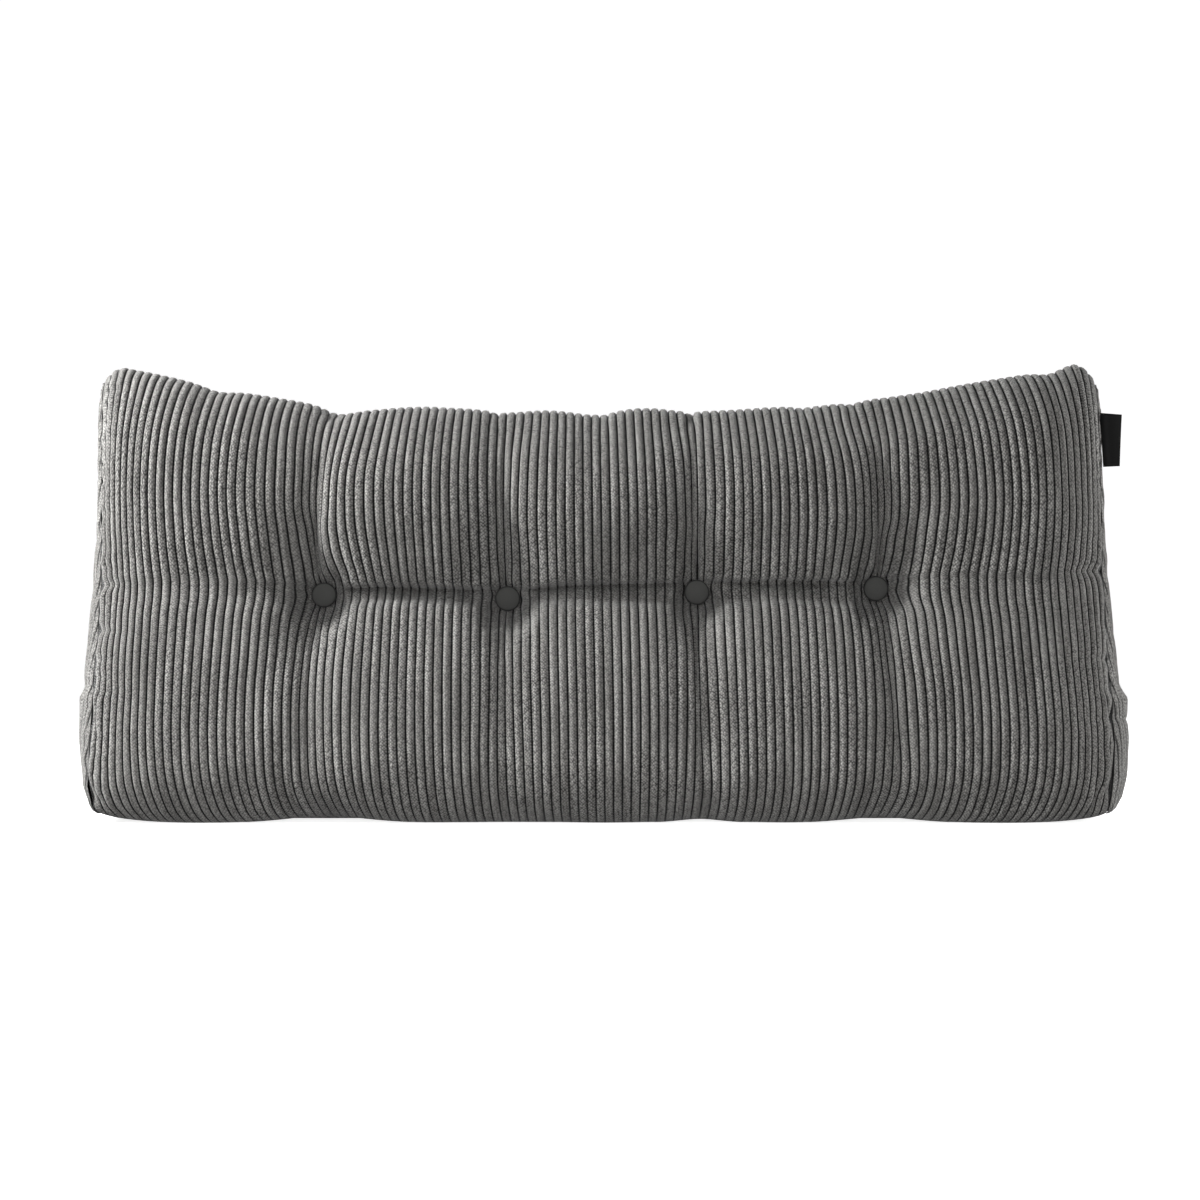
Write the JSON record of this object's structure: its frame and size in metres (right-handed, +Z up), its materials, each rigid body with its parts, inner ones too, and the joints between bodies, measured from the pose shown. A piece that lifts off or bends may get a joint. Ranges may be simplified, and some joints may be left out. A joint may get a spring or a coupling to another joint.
{
  "type": "headboard wedge pillow",
  "caption": "Long upright wedge cushion in wide-ribbed corduroy with a button-tufted front, two side panels and a flat base.",
  "frame": {"origin": "middle of the footprint, on the surface that the pillow stands on", "axes": "+X to the right seen from the tufted front, +Y from the front to the back, +Z up"},
  "size_m": [1.1558, 0.2323, 0.5032],
  "materials": {
    "corduroy": "warm grey wide-wale corduroy, matt pile",
    "button_cloth": "smooth dark grey cloth, matt",
    "tape": "black woven tape with a slight sheen"
  },
  "bodies": {
    "root": {"cushion_wrap": "corduroy", "side_panel_left": "corduroy", "side_panel_right": "corduroy", "button_far_left": "button_cloth", "button_mid_left": "button_cloth", "button_mid_right": "button_cloth", "button_far_right": "button_cloth", "side_tab": "tape"}
  },
  "joints": []
}
